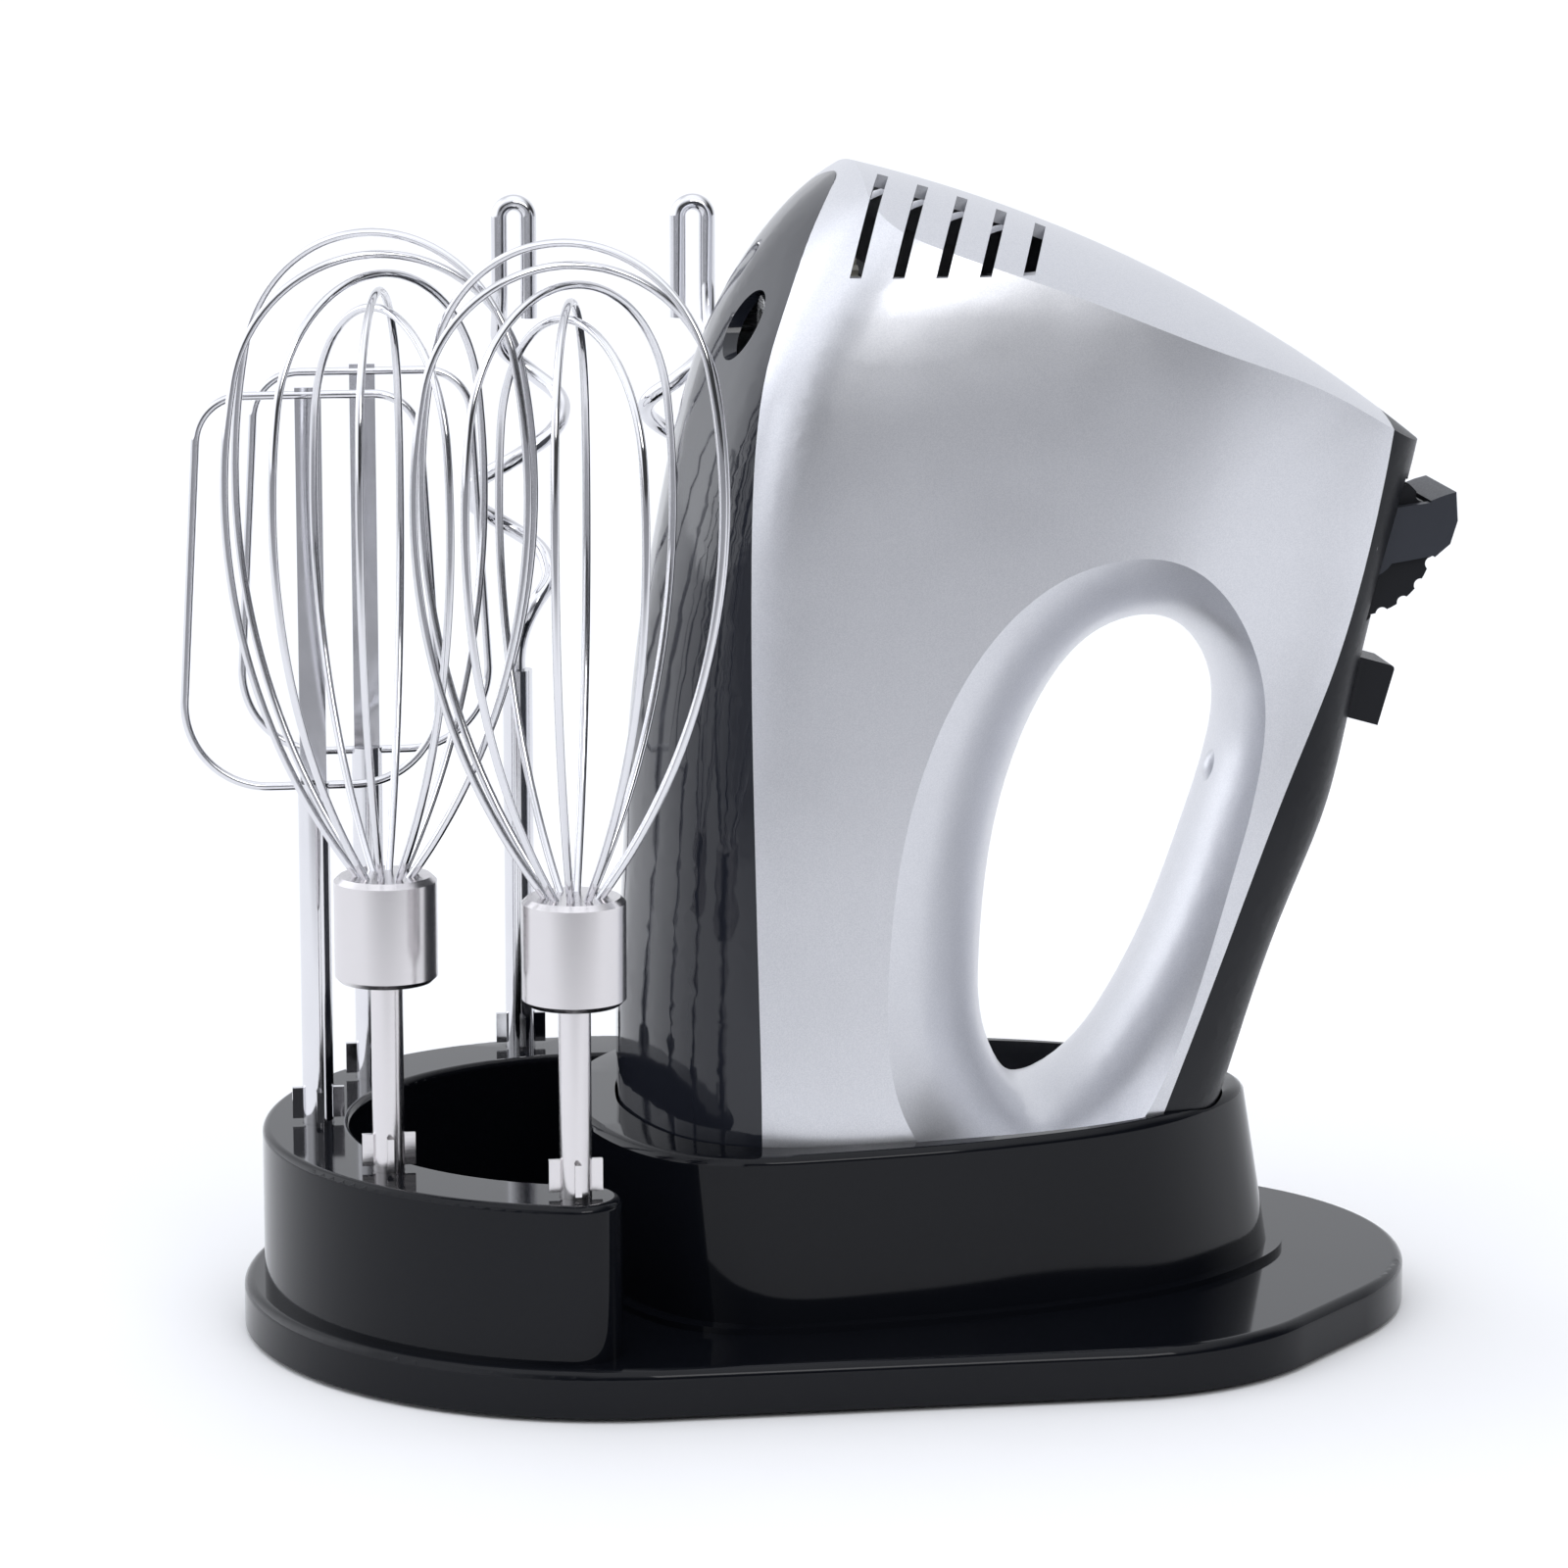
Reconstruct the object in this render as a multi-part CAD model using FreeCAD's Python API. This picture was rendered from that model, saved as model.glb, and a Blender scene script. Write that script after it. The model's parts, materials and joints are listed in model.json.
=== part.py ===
import FreeCAD, Part
import math
import os

# Hand mixer standing on its tail in a storage stand, with two balloon whisks, two beaters and two
# dough hooks in the stand's C-shaped holder. Millimetres. X runs from the holder to the mixer's
# handle, Z is up. Shapes are drawn about the holder's centre, and everything is moved at the end so
# that the origin lies on the table under the middle of the whole set.

Vec = FreeCAD.Vector

# ---------------------------------------------------------------- stand
PLATE_R = 72.0            # round left end of the base plate
SHOULDER_X = 110.0        # where its straight sides turn towards the tip
SHOULDER_ROUND = 50.0
TIP_X = 177.2             # where the two slanting sides would meet
TIP_ROUND = 56.7
PLATE_TOP = 10.0          # height of the plate's upper face
FOOT_H = 1.0              # how far the rubber feet stand out
SKIN = 2.5                # wall of the stand's mouldings
HOLDER_R = 68.0           # outer radius of the C-shaped holder
HOLDER_RING = 17.0        # width of its ring
HOLDER_TOP = 40.0
HOLDER_START = 256.5      # angles of the centres of the C's two rounded ends
HOLDER_END = 62.0
HOLDER_ROUND = 1.5        # rounding of its upper edges
SOCKETS = [               # the attachments' places, from the front round the left to the back
    (-14.0, -58.0), (-46.5, -34.0), (-57.0, 4.0), (-44.0, 39.0), (-11.8, 60.2), (23.6, 57.2),
]
SOCKET_WALL = 2.2         # wall of the tube under each socket
SOCKET_FLOOR = 13.0
RIM_FILLET = 2.0          # rounding of the plate's upper edge
COVER_T = 1.8             # bottom cover
COVER_GAP = 0.2
SCREW_R = 1.5
SCREW_HOLE = 0.1          # clearance round a screw that passes through, on the radius
SCREW_POST_R = 4.0
SCREW_TOP = PLATE_TOP + 3.0     # tips of the stand's screws
PAN_R = 3.0               # heads of the stand's screws, sunk into the cover
SUNK = 0.8                # depth of the pockets in the cover for heads and feet
HOLDER_SCREW_R = 59.5     # circle of the three screws that hold the holder
HOLDER_SCREW_ANGLES = (238.0, 158.0, 118.0)
CRADLE_SCREWS = [(50.0, 30.0), (50.0, -30.0), (108.0, 0.0)]
FOOT_R = 6.9
FOOT_PLACES = [(-38.0, 38.0), (-38.0, -38.0), (112.0, 34.0), (112.0, -34.0)]
CRADLE_TOP = 43.5
CRADLE_JOIN = 0.1         # between the cradle and the holder that butts against it
FLANGE_W = 3.0            # the cradle's foot flange
FLANGE_H = 1.2
CRADLE_LEFT = (-5.0, -8.5)      # its left end at the foot and at the rim
CRADLE_RIGHT = (130.0, 124.5)   # its right end at the foot and at the rim
CRADLE_HALF = 49.5
RIM_ROUND = 1.6
CRADLE_GAP = 0.5          # between the cradle's pocket and the mixer
RUN = 0.05                # running clearance, on the radius
FACE_GAP = 0.3            # between faces of pieces that move past each other

# ---------------------------------------------------------------- mixer
TAIL_Z = 14.0             # the mixer's tail end, standing in the cradle
WALL = 2.5                # wall of its shells
# Sections of the shell: height, belly x, handle x, greatest half width.
STATIONS = [
    (14.0, 3.5, 107.4, 40.0),
    (27.0, 2.3, 112.3, 41.4),
    (40.0, 1.2, 117.2, 42.3),
    (75.0, 1.5, 129.5, 42.5),
    (110.0, 3.3, 142.5, 42.5),
    (145.0, 7.5, 150.4, 42.5),
    (170.0, 12.5, 156.5, 42.3),
    (190.0, 18.2, 160.0, 41.0),
    (205.0, 26.0, 162.0, 38.5),
    (216.0, 34.5, 162.0, 35.0),
    (223.0, 43.0, 162.0, 31.5),
    (229.0, 64.0, 162.0, 26.0),
]
WIDEST_X = 36.0           # where a section is widest, at least this far right
BELLY_DEPTH = 24.0        # and at least this far behind the belly
CREST_R = 282.0           # the long arc of the top ridge
CREST_X = -20.6           # its centre
CREST_Z = -49.0
CROWN_R = 72.0            # the ridge's crown across the mixer
FINGER_WALL = 3.5         # wall of the finger hole's tunnel
FINGER_HOLE = [           # its throat, in the mixer's middle plane
    (99.0, 136.8), (111.2, 134.2), (118.6, 122.6), (117.6, 107.6), (112.9, 92.6), (106.8, 75.8),
    (98.4, 59.2), (89.4, 48.2), (80.8, 44.6), (73.4, 53.0), (70.9, 73.2), (73.3, 96.4),
    (79.1, 115.8), (87.4, 129.8),
]
FINGER_FLARE = [          # how far the tunnel has widened at a distance from the middle plane
    (0.0, 0.0), (12.0, 1.2), (20.0, 4.0), (27.0, 8.5), (33.0, 13.5), (38.0, 18.5), (43.0, 25.0),
]
FINGER_BUMP = (121.6, 105.0, 5.6)       # small rest for the index finger: x, z and radius
BELLY_SEAM = [
    (22.5, 5.0), (22.5, 80.0), (21.6, 150.0), (23.0, 177.0), (25.5, 190.0), (29.5, 201.0),
    (36.5, 215.0), (42.0, 222.0), (50.0, 229.0), (60.0, 236.0),
]
STRIP_SEAM = [
    (91.0, 5.0), (102.0, 40.0), (115.4, 72.0), (128.6, 105.0), (138.4, 128.0), (143.8, 147.0),
    (147.5, 167.0), (149.0, 178.0), (150.0, 195.0),
]
VENTS = 5                 # cooling slots on each side of the nose
VENT_X = 41.2             # foot of the first one
VENT_STEP = 8.13
VENT_Z = 206.4
VENT_SIDE = 37.0          # half width of the shell at their feet
VENT_LEAN = 0.24          # towards the handle, for each millimetre up
VENT_SWEEP = 0.21         # and for each millimetre towards the ridge
VENT_W = 2.2
VENT_H = 30.0
VENT_BRIDGE = 11.0        # half width of the solid ridge between the two rows of slots
INLET_X = 86.0            # where the power cord enters the tail
INLET_R = 5.0
INLET_H = 7.0
INLET_BORE_R = 3.4
HOUSING_SCREWS = [(100.0, 188.0), (62.0, 24.0), (62.0, 152.0), (107.5, 62.0), (64.0, 176.0)]
SCREW_BOSS_R = 3.6
SCREW_DEPTH = 20.0        # depth of the thread in each shell
SCREW_TIP_Y = -10.0
SCREW_HEAD_R = 2.8
SCREW_HEAD_H = 2.2
SCREW_HEAD_Y = 14.0       # seat of the screws' heads, in the right shell
MID = 60.0                # half width of tools that cut across the whole mixer
FAR = 300.0               # longer than anything, for cutting tools

# ---------------------------------------------------------------- drive
MOTOR_X = 40.0            # the motor's axis, parallel to Z
SHAFT_R = 2.5
SHAFT_Z = (66.0, 212.0)
STATOR = 44.0             # square laminations
STATOR_Z = (100.0, 128.0)
ROTOR_R = 13.0
AIR_GAP = 0.6
FAN_R = 18.5
FAN_Z = (140.0, 147.0)
BEARING_R = 6.0
REAR_BEARING_Z = (67.0, 74.0)
FRONT_BEARING_Z = (160.0, 168.0)
COMMUTATOR_R = 8.0
COMMUTATOR_Z = (78.0, 89.0)
BRUSH = 5.0               # square section of a carbon brush
SPRING_Y = (17.35, 21.65) # a brush spring's two ends
SPRING_R = 1.8
SPRING_WIRE_R = 0.25
SPRING_TURNS = 3
SPINDLE_Y = 18.0          # half the distance between the beater spindles
SPINDLE_Z = 196.0
SPINDLE_R = 5.5
SPINDLE_X = (26.5, 51.7)  # mouth and inner end
PORT_R = 6.5              # holes for the spindles in the belly cover
WORM_R = 3.9
GEAR_R = 14.0             # over the teeth
GEAR_ROOT_R = 12.8
GEAR_W = 7.0
GEAR_TEETH = 30
WORM_STARTS = 2
EYE_X = (30.5, 33.5)      # front spindle bearing plate
BACK_X = (47.0, 51.0)     # rear spindle bearing plate
FRAME_HALF = 27.0
FORK_X = (57.0, 60.0)     # ejector fork's plate
FORK_PIN_R = 2.2
EJECT_TRAVEL = 5.0

# ---------------------------------------------------------------- controls
DIAL_X = 144.5
DIAL_Z = 151.0
DIAL_R = 14.5
DIAL_HALF = 9.0
DIAL_GROOVES = 20
AXLE_R = 2.0
AXLE_HALF = 15.0
LEVER_HALF = 11.6         # outer half width of the eject lever
LEVER_ARM_R = 7.0
LEVER_ARM = [(0.0, -5.0), (14.8, -2.6), (14.8, 7.8), (0.0, 6.0)]      # about the dial's axis
FIN = [(14.2, -3.0), (17.2, -0.5), (18.6, 4.0), (18.2, 9.6), (15.9, 9.0), (13.2, 8.0)]
BOARD_X = (126.4, 128.0)  # control board, in the handle
BOARD_HALF = 11.0
BOARD_Z = (118.0, 170.0)
SWITCH_X = 112.0          # inner face of the speed switch
SWITCH_HALF = 9.0
SWITCH_Z = (146.0, 165.0)
BUTTON_X = 146.4          # turbo button, on the strip's outer face
BUTTON_Z = 121.5
BUTTON_LEAN = -16.0       # its outward normal, degrees from +X
BUTTON_L = 12.0
BUTTON_HALF = 7.0
BUTTON_OUT = 4.6
BUTTON_IN = 8.0
BUTTON_TRAVEL = 3.0

# ---------------------------------------------------------------- attachments
TOOL_R = 3.0              # radius of every attachment's shaft
LUG_HALF = 5.0
LUG_H = 6.0
LUG_Z = 41.0
BLADE_W = 5.0
BLADE_T = 1.0
BLADE_Z = (104.0, 183.0)
LOOP_WIRE_R = 0.8
WHISK_WIRE_R = 0.75
WHISK_LOOPS = 5
WHISK_APEX = [216.0, 212.0, 208.4, 205.2, 202.2]
WHISK_R = 27.8            # widest radius of a whisk
WHISK_TURN = 6.0          # first loop's direction, from the line that joins the two whisks
WHISK_STEP = 0.5          # each nested loop is smaller by this
WHISK_SIDE_R = 120.0      # the long arc of a wire's flank
FERRULE_R = 9.6
FERRULE_Z = (76.5, 96.5)
FERRULE_CHAMFER = 1.0
FERRULE_SEAT = 8.0        # how far a whisk's shaft goes into its ferrule
WIRE_RING_R = 5.2         # circle on which the wires enter the ferrule
WIRE_DEPTH = 5.0
HOOK_ROD_R = 1.6
HOOK_SHAFT_TOP = 118.0
HOOK_SPIRAL_R = 10.6
HOOK_TOP = 212.0
HOOK_PIN_HALF = 2.9       # half width of the hairpin at the top


# ================================================================ helpers
def spline(points, closed=False):
    curve = Part.BSplineCurve()
    curve.interpolate([Vec(*p) for p in points], PeriodicFlag=closed)
    return curve.toShape()


def box(x0, x1, y0, y1, z0, z1):
    return Part.makeBox(x1 - x0, y1 - y0, z1 - z0, Vec(x0, y0, z0))


def rod_z(x, y, z0, z1, radius):
    return Part.makeCylinder(radius, z1 - z0, Vec(x, y, z0), Vec(0, 0, 1))


def rod_y(x, z, y0, y1, radius):
    return Part.makeCylinder(radius, y1 - y0, Vec(x, y0, z), Vec(0, 1, 0))


def rod_x(y, z, x0, x1, radius):
    return Part.makeCylinder(radius, x1 - x0, Vec(x0, y, z), Vec(1, 0, 0))


def fuse(shapes):
    whole = shapes[0]
    for shape in shapes[1:]:
        whole = whole.fuse(shape)
    return whole.removeSplitter()


def cut(shape, tools):
    for tool in tools:
        shape = shape.cut(tool)
    return shape


def both_sides(shape):
    """The shape and its mirror image in the plane y = 0."""
    return [shape, shape.mirror(Vec(0, 0, 0), Vec(0, 1, 0))]


def prism_y(edges, half):
    """A closed outline in XZ, extruded from y = -half to y = half."""
    face = Part.Face(Part.Wire(edges))
    face.translate(Vec(0, -half, 0))
    return face.extrude(Vec(0, 2 * half, 0))


def polygon_y(points, half):
    corners = [Vec(x, 0, z) for x, z in points]
    corners.append(corners[0])
    return prism_y(Part.makePolygon(corners).Edges, half)


def path(points, bends):
    """Straight runs joined by tangent arcs; bends gives the radius at each inner point."""
    edges = []
    start = points[0]
    for i in range(1, len(points) - 1):
        corner = points[i]
        back = (points[i - 1] - corner).normalize()
        ahead = (points[i + 1] - corner).normalize()
        turn = math.pi - back.getAngle(ahead)
        reach = bends[i - 1] * math.tan(turn / 2)
        first = corner + back * reach
        last = corner + ahead * reach
        middle = (back + ahead).normalize()
        centre = corner + middle * (bends[i - 1] / math.cos(turn / 2))
        if (first - start).Length > 1e-4:
            edges.append(Part.LineSegment(start, first).toShape())
        edges.append(Part.Arc(first, centre - middle * bends[i - 1], last).toShape())
        start = last
    edges.append(Part.LineSegment(start, points[-1]).toShape())
    return Part.Wire(edges)


def even_bends(points, share=0.45):
    """The largest radii that the runs on both sides of each inner point allow."""
    bends = []
    for i in range(1, len(points) - 1):
        back = points[i - 1] - points[i]
        ahead = points[i + 1] - points[i]
        turn = math.pi - back.getAngle(ahead)
        bends.append(share * min(back.Length, ahead.Length) / math.tan(turn / 2))
    return bends


def wire_solid(spine, radius):
    """Round wire of the given radius along a path."""
    edge = spine.OrderedEdges[0]
    begin = edge.valueAt(edge.FirstParameter)
    heading = edge.tangentAt(edge.FirstParameter)
    ring = Part.Wire([Part.Circle(begin, heading, radius).toShape()])
    return spine.makePipeShell([ring], True, False)


# ================================================================ stand
def plate_outline(inset, z):
    """Outline of the base plate: half circle, straight sides, two shoulders and a round tip."""
    corners = [Vec(0, -PLATE_R, z), Vec(SHOULDER_X, -PLATE_R, z), Vec(TIP_X, 0, z),
               Vec(SHOULDER_X, PLATE_R, z), Vec(0, PLATE_R, z)]
    sides = path(corners, [SHOULDER_ROUND, TIP_ROUND, SHOULDER_ROUND])
    left = Part.Arc(corners[-1], Vec(-PLATE_R, 0, z), corners[0]).toShape()
    outline = Part.Wire(sides.Edges + [left])
    return outline.makeOffset2D(-inset) if inset else outline


def slab(wire, height):
    return Part.Face(wire).extrude(Vec(0, 0, height))


def ring_sector(inner, outer, z0, z1, end_round):
    """The C: a ring from HOLDER_END to HOLDER_START with rounded ends."""
    ring = rod_z(0, 0, z0, z1, outer).cut(rod_z(0, 0, z0 - 1, z1 + 1, inner))
    gap_from = math.radians(HOLDER_START - 360)
    gap_to = math.radians(HOLDER_END)
    corners = [Vec(0, 0, z0 - 1)]
    steps = 6
    for i in range(steps + 1):
        angle = gap_from + (gap_to - gap_from) * i / steps
        corners.append(Vec(2 * outer * math.cos(angle), 2 * outer * math.sin(angle), z0 - 1))
    corners.append(corners[0])
    wedge = Part.Face(Part.makePolygon(corners)).extrude(Vec(0, 0, z1 - z0 + 2))
    ring = ring.cut(wedge)
    middle = (inner + outer) / 2
    ends = [rod_z(middle * math.cos(a), middle * math.sin(a), z0, z1, end_round)
            for a in (gap_from, gap_to)]
    return fuse([ring] + ends)


def holder_screws():
    """Places of the three screws that come up into the holder."""
    angles = [math.radians(a) for a in HOLDER_SCREW_ANGLES]
    return [(HOLDER_SCREW_R * math.cos(a), HOLDER_SCREW_R * math.sin(a)) for a in angles]


def make_base_plate():
    body = slab(plate_outline(0, FOOT_H), PLATE_TOP - FOOT_H)
    rim = [e for e in body.Edges if e.BoundBox.ZMin > PLATE_TOP - 0.01]
    body = body.makeFillet(RIM_FILLET, rim)
    hollow = slab(plate_outline(SKIN, FOOT_H), PLATE_TOP - SKIN - FOOT_H)
    body = body.cut(hollow)
    places = holder_screws() + CRADLE_SCREWS
    posts = [rod_z(x, y, FOOT_H + COVER_T, PLATE_TOP - SKIN + 0.5, SCREW_POST_R) for x, y in places]
    bores = [rod_z(x, y, FOOT_H, PLATE_TOP + 1, SCREW_R + SCREW_HOLE) for x, y in places]
    return cut(fuse([body] + posts), bores)


def make_bottom_cover():
    cover = slab(plate_outline(SKIN + COVER_GAP, FOOT_H), COVER_T)
    pocket = FOOT_H + SUNK
    tools = []
    for x, y in holder_screws() + CRADLE_SCREWS:
        tools.append(rod_z(x, y, 0, PLATE_TOP, SCREW_R + COVER_GAP))
        tools.append(rod_z(x, y, 0, pocket, PAN_R + COVER_GAP))
    tools += [rod_z(x, y, 0, pocket, FOOT_R + SCREW_HOLE) for x, y in FOOT_PLACES]
    return cut(cover, tools)


def make_feet():
    return [rod_z(x, y, 0, FOOT_H + SUNK, FOOT_R) for x, y in FOOT_PLACES]


def make_stand_screws():
    screws = []
    seat = FOOT_H + SUNK
    for x, y in holder_screws() + CRADLE_SCREWS:
        head = rod_z(x, y, FOOT_H + RUN, seat, PAN_R)
        screws.append(fuse([head, rod_z(x, y, seat, SCREW_TOP, SCREW_R)]))
    return screws


def make_holder():
    inner = HOLDER_R - HOLDER_RING
    end = HOLDER_RING / 2
    body = ring_sector(inner, HOLDER_R, PLATE_TOP, HOLDER_TOP, end)
    rim = [e for e in body.Edges if e.BoundBox.ZMin > HOLDER_TOP - 0.01]
    body = body.makeFillet(HOLDER_ROUND, rim)
    roof = HOLDER_TOP - SKIN
    hollow = ring_sector(inner + SKIN, HOLDER_R - SKIN, PLATE_TOP, roof, end - SKIN)
    tubes = [rod_z(x, y, PLATE_TOP, roof, TOOL_R + SOCKET_WALL) for x, y in SOCKETS]
    posts = [rod_z(x, y, PLATE_TOP, roof, SCREW_POST_R) for x, y in holder_screws()]
    bores = [rod_z(x, y, SOCKET_FLOOR, HOLDER_TOP + 1, TOOL_R + RUN) for x, y in SOCKETS]
    bores += [rod_z(x, y, 0, SCREW_TOP + FACE_GAP, SCREW_R) for x, y in holder_screws()]
    body = fuse([body.cut(hollow)] + tubes + posts)
    return cut(body, bores + [cradle_form(CRADLE_JOIN)])


# ================================================================ mixer shell
def station(z):
    """Belly x, handle x and half width of the shell at a height, between the listed sections."""
    for low, high in zip(STATIONS, STATIONS[1:]):
        if z <= high[0] or high is STATIONS[-1]:
            share = (z - low[0]) / (high[0] - low[0])
            return [a + (b - a) * share for a, b in zip(low[1:], high[1:])]


def handle_widths(z):
    """Half widths at 60, 85 and 96 percent of the way to the handle's edge, as shares."""
    share = min(1.0, max(0.0, (z - 50.0) / 50.0))
    back = min(1.0, max(0.0, (z - 150.0) / 30.0))
    w60 = 0.82 - 0.05 * share + 0.03 * back
    w85 = 0.60 - 0.14 * share + 0.06 * back
    return w60, w85, 0.72 * w85


def shell_section(z, inset):
    """Closed section of the mixer's outer form at height z, drawn in by inset."""
    belly, handle, half = station(z)
    belly += inset
    handle -= inset
    half -= inset
    widest = max(WIDEST_X, belly + BELLY_DEPTH)
    w60, w85, w96 = handle_widths(z)
    left = [(0.0, 0.0), (0.05, 0.34), (0.16, 0.62), (0.32, 0.82), (0.52, 0.93), (0.76, 0.985)]
    right = [(0.0, 1.0), (0.3, 0.945), (0.6, w60), (0.85, w85), (0.96, w96)]
    side = [(belly + (widest - belly) * u, half * v) for u, v in left]
    side += [(widest + (handle - widest) * u, half * v) for u, v in right]
    tip = [(handle, 0.0)]
    back = [(x, -y) for x, y in reversed(side[1:])]
    points = [(x, y, z) for x, y in side + tip + back]
    return Part.Wire([spline(points, closed=True)])


def shell_form(inset, z_from=TAIL_Z):
    """The solid inside the shell's outer form, drawn in by inset."""
    heights = [z_from] + [s[0] for s in STATIONS if z_from < s[0]]
    return Part.makeLoft([shell_section(z, inset) for z in heights], True, False)


def crest_wheel(inset):
    """A wheel whose crowned rim is the mixer's top ridge."""
    radius = CREST_R - inset
    half = 60.0
    edge = radius - CROWN_R + math.sqrt(CROWN_R ** 2 - half ** 2)
    rim = Part.Arc(Vec(edge, -half, 0), Vec(radius, 0, 0), Vec(edge, half, 0)).toShape()
    corners = [Vec(edge, half, 0), Vec(0, half, 0), Vec(0, -half, 0), Vec(edge, -half, 0)]
    sides = [Part.LineSegment(a, b).toShape() for a, b in zip(corners, corners[1:])]
    wheel = Part.Face(Part.Wire([rim] + sides)).revolve(Vec(0, 0, 0), Vec(0, 1, 0), 360)
    wheel.translate(Vec(CREST_X, 0, CREST_Z))
    return wheel


def moved_out(points, distance):
    """A closed outline's points, moved outwards along its normals."""
    count = len(points)
    cx = sum(p[0] for p in points) / count
    cz = sum(p[1] for p in points) / count
    moved = []
    for i, (x, z) in enumerate(points):
        before = points[i - 1]
        after = points[(i + 1) % count]
        tx = after[0] - before[0]
        tz = after[1] - before[1]
        length = math.hypot(tx, tz)
        nx = tz / length
        nz = -tx / length
        if nx * (x - cx) + nz * (z - cz) < 0:
            nx = -nx
            nz = -nz
        moved.append((x + nx * distance, z + nz * distance))
    return moved


def finger_hole(outset):
    """The finger hole's tunnel, flared towards both sides, grown by outset."""
    sections = []
    steps = [(-y, widening) for y, widening in reversed(FINGER_FLARE[1:])] + FINGER_FLARE
    for y, widening in steps:
        points = [(x, y, z) for x, z in moved_out(FINGER_HOLE, widening + outset)]
        sections.append(Part.Wire([spline(points, closed=True)]))
    return Part.makeLoft(sections, True, False)


def zone(seam, x_far):
    """Everything on one side of a seam: x_far is a place well beyond it."""
    curve = spline([(x, 0, z) for x, z in seam])
    low = seam[0]
    high = seam[-1]
    corners = [Vec(high[0], 0, high[1]), Vec(x_far, 0, high[1]), Vec(x_far, 0, low[1]),
               Vec(low[0], 0, low[1])]
    sides = [Part.LineSegment(a, b).toShape() for a, b in zip(corners, corners[1:])]
    return prism_y([curve] + sides, MID)


def vent_slots():
    """Slanted cooling slots on one side of the nose (y > 0), swept towards the handle at the ridge."""
    slots = []
    reach = MID - VENT_BRIDGE
    dx = VENT_H * VENT_LEAN
    for i in range(VENTS):
        x = VENT_X + VENT_STEP * i + VENT_SWEEP * (VENT_SIDE - VENT_BRIDGE) - VENT_W / 2
        corners = [Vec(x, VENT_BRIDGE, VENT_Z), Vec(x + VENT_W, VENT_BRIDGE, VENT_Z),
                   Vec(x + VENT_W + dx, VENT_BRIDGE, VENT_Z + VENT_H),
                   Vec(x + dx, VENT_BRIDGE, VENT_Z + VENT_H)]
        face = Part.Face(Part.makePolygon(corners + corners[:1]))
        slots.append(face.extrude(Vec(-VENT_SWEEP * reach, reach, 0)))
    return slots


def make_shell():
    """Outer form, cavity and hollow shell of the mixer."""
    outer = shell_form(0).common(crest_wheel(0))
    cavity = shell_form(WALL, z_from=TAIL_Z + WALL).common(crest_wheel(WALL))
    cavity = cavity.cut(finger_hole(FINGER_WALL))
    x, z, radius = FINGER_BUMP
    outer = outer.cut(finger_hole(0).cut(Part.makeSphere(radius, Vec(x, 0, z))))
    return outer, cavity


def button_frame(shape):
    """Moves a shape from the button's own frame (x outwards, z along the strip) to its place."""
    shape.rotate(Vec(0, 0, 0), Vec(0, 1, 0), -BUTTON_LEAN)
    shape.translate(Vec(BUTTON_X, 0, BUTTON_Z))
    return shape


def button_block(grow, inwards, outwards):
    half = BUTTON_L / 2 + grow
    return button_frame(box(-inwards, outwards, -BUTTON_HALF - grow, BUTTON_HALF + grow, -half, half))


def ribs():
    """Ribs that carry the motor, the gearbox, the board and the dial's axle, on one side (y > 0)."""
    stator_side = STATOR / 2 + RUN
    rib = [
        box(MOTOR_X - 16, MOTOR_X + 16, stator_side, 50, STATOR_Z[0] + 4, STATOR_Z[0] + 7),
        box(MOTOR_X - 16, MOTOR_X + 16, stator_side, 50, STATOR_Z[1] - 7, STATOR_Z[1] - 4),
        box(MOTOR_X - 8, MOTOR_X + 8, 20 + RUN, 50, 69, 72),
        box(BACK_X[0], BACK_X[1], FRAME_HALF + RUN, 50, 186, 189),
        box(BACK_X[0], BACK_X[1], FRAME_HALF + RUN, 50, 160, 163),
        box(BOARD_X[0], BOARD_X[1] + SKIN, BOARD_HALF + RUN, MID, 144, 147),
        rod_y(DIAL_X, DIAL_Z, LEVER_HALF + FACE_GAP, 50, AXLE_R + 2.2),
    ]
    return rib


def make_housings(outer, cavity):
    """Left and right shells, belly cover and handle strip."""
    room = LEVER_HALF + FACE_GAP
    dial_room = rod_y(DIAL_X, DIAL_Z, -room, room, DIAL_R + 0.6)
    button_room = button_block(FACE_GAP, BUTTON_IN + 6, BUTTON_OUT + 4)
    inlet = rod_z(INLET_X, 0, TAIL_Z - 1, TAIL_Z + WALL + 1, INLET_R)
    shell = outer.cut(cavity)
    ports = [rod_x(s * SPINDLE_Y, SPINDLE_Z, -20, SPINDLE_X[0] + PORT_R, PORT_R) for s in (-1, 1)]
    shell = cut(shell, [dial_room, button_room, inlet] + ports)
    belly_zone = zone(BELLY_SEAM, -60.0)
    strip_zone = zone(STRIP_SEAM, 230.0)
    cover = shell.common(belly_zone)
    strip = shell.common(strip_zone).cut(make_axle())
    half = shell.common(box(-60, FAR, 0, 80, 0, FAR))
    half = cut(half.cut(belly_zone).cut(strip_zone), vent_slots())
    inside = [cavity.common(r) for r in ribs()]
    tubes = [cavity.common(rod_y(x, z, 0, MID, SCREW_BOSS_R)) for x, z in HOUSING_SCREWS]
    half = half.multiFuse(inside + tubes)
    half = half.cut(make_axle())
    half = cut(half, [rod_y(x, z, -1, SCREW_DEPTH, SCREW_R) for x, z in HOUSING_SCREWS])
    left = half.mirror(Vec(0, 0, 0), Vec(0, 1, 0))
    wells = [rod_y(x, z, SCREW_HEAD_Y, MID, SCREW_HEAD_R + COVER_GAP) for x, z in HOUSING_SCREWS]
    return left, cut(half, wells), cover, strip


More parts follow.
